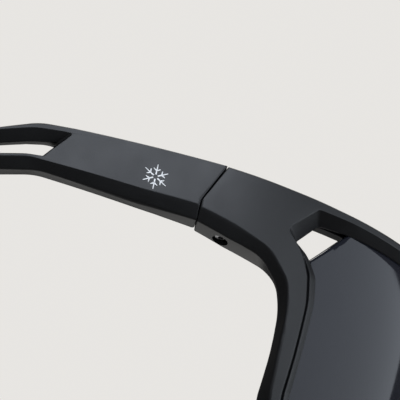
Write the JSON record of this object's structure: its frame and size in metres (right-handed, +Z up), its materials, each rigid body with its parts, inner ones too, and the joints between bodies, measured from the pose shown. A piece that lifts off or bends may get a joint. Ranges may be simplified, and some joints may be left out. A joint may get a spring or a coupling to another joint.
{
  "type": "wraparound mountain sunglasses",
  "caption": "Wraparound sunglasses with a single dark shield lens in a matte moulded frame, soft nose pads and forked folding temples with rubber tips.",
  "frame": {"origin": "middle of the footprint at the level of the surface that the open glasses stand on", "axes": "+Z up, the front faces -Y, the temples run back along +Y, the wearer's left is +X"},
  "size_m": [0.1448, 0.172, 0.0579],
  "materials": {
    "frame_nylon": "fine-textured matte black moulded nylon",
    "tinted_lens": "dark grey polished polycarbonate shield",
    "bracket_nylon": "matte black nylon",
    "soft_rubber": "soft matte black elastomer",
    "grip_rubber": "soft matte black elastomer with fine texture",
    "steel": "dark burnished stainless steel",
    "brass": "turned brass",
    "white_print": "white pad print"
  },
  "bodies": {
    "front": {"front_frame": "frame_nylon", "shield_lens": "tinted_lens", "nose_bracket": "bracket_nylon", "nose_pad_left": "soft_rubber", "nose_pad_right": "soft_rubber", "nose_wire_left": "steel", "nose_wire_right": "steel", "hinge_screw_left": "steel", "hinge_screw_right": "steel", "hinge_insert_left": "brass", "hinge_insert_right": "brass"},
    "temple_left": {"temple_left": "frame_nylon", "temple_grip_left": "grip_rubber", "temple_mark_left": "white_print", "hinge_bush_left": "brass"},
    "temple_right": {"temple_right": "frame_nylon", "temple_grip_right": "grip_rubber", "temple_mark_right": "white_print", "hinge_bush_right": "brass"}
  },
  "joints": [
    {"name": "left_temple_fold", "type": "hinge", "parent": "front", "child": "temple_left", "pos_m": [0.065, -0.02896, 0.03894], "axis": [0, 0.0976, 0.9952], "range_deg": [0, 92]},
    {"name": "right_temple_fold", "type": "hinge", "parent": "front", "child": "temple_right", "pos_m": [-0.065, -0.02896, 0.03894], "axis": [0, -0.0976, -0.9952], "range_deg": [0, 84]}
  ]
}
